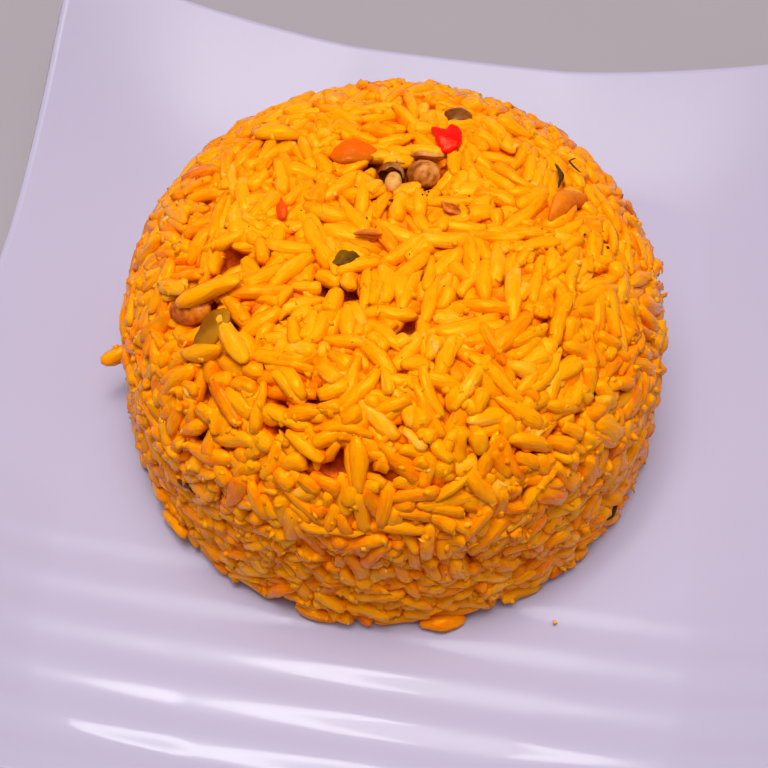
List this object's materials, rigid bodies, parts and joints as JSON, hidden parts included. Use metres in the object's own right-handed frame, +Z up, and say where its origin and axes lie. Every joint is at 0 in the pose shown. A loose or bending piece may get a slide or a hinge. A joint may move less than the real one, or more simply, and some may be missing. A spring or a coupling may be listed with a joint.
{
  "type": "rice with pigeon peas on a plate",
  "caption": "Mound of yellow rice with brown pigeon peas and soft bits of pepper and onion, turned out of a round mould onto a small square plate with raised corners and a rippled front.",
  "frame": {"origin": "middle of the plate, on the surface that the plate stands on", "axes": "+Z up, -Y towards the plate's rippled front side, X and Y along the plate's sides"},
  "size_m": [0.1726, 0.1717, 0.0565],
  "materials": {
    "plate": "glossy",
    "rice": "moist",
    "pea": "moist",
    "pea_seed": "moist",
    "pepper_orange": "moist",
    "pepper_red": "moist",
    "onion": "moist"
  },
  "bodies": {
    "root": {"plate": "plate", "rice": "rice", "pea_whole": "pea", "pea_back": "pea", "pea_left": "pea", "pea_seed": "pea_seed", "pea_hood": "pea", "pea_skin": "pea", "pepper_orange": "pepper_orange", "pepper_red": "pepper_red", "onion_left": "onion", "onion_right": "onion"}
  },
  "joints": []
}
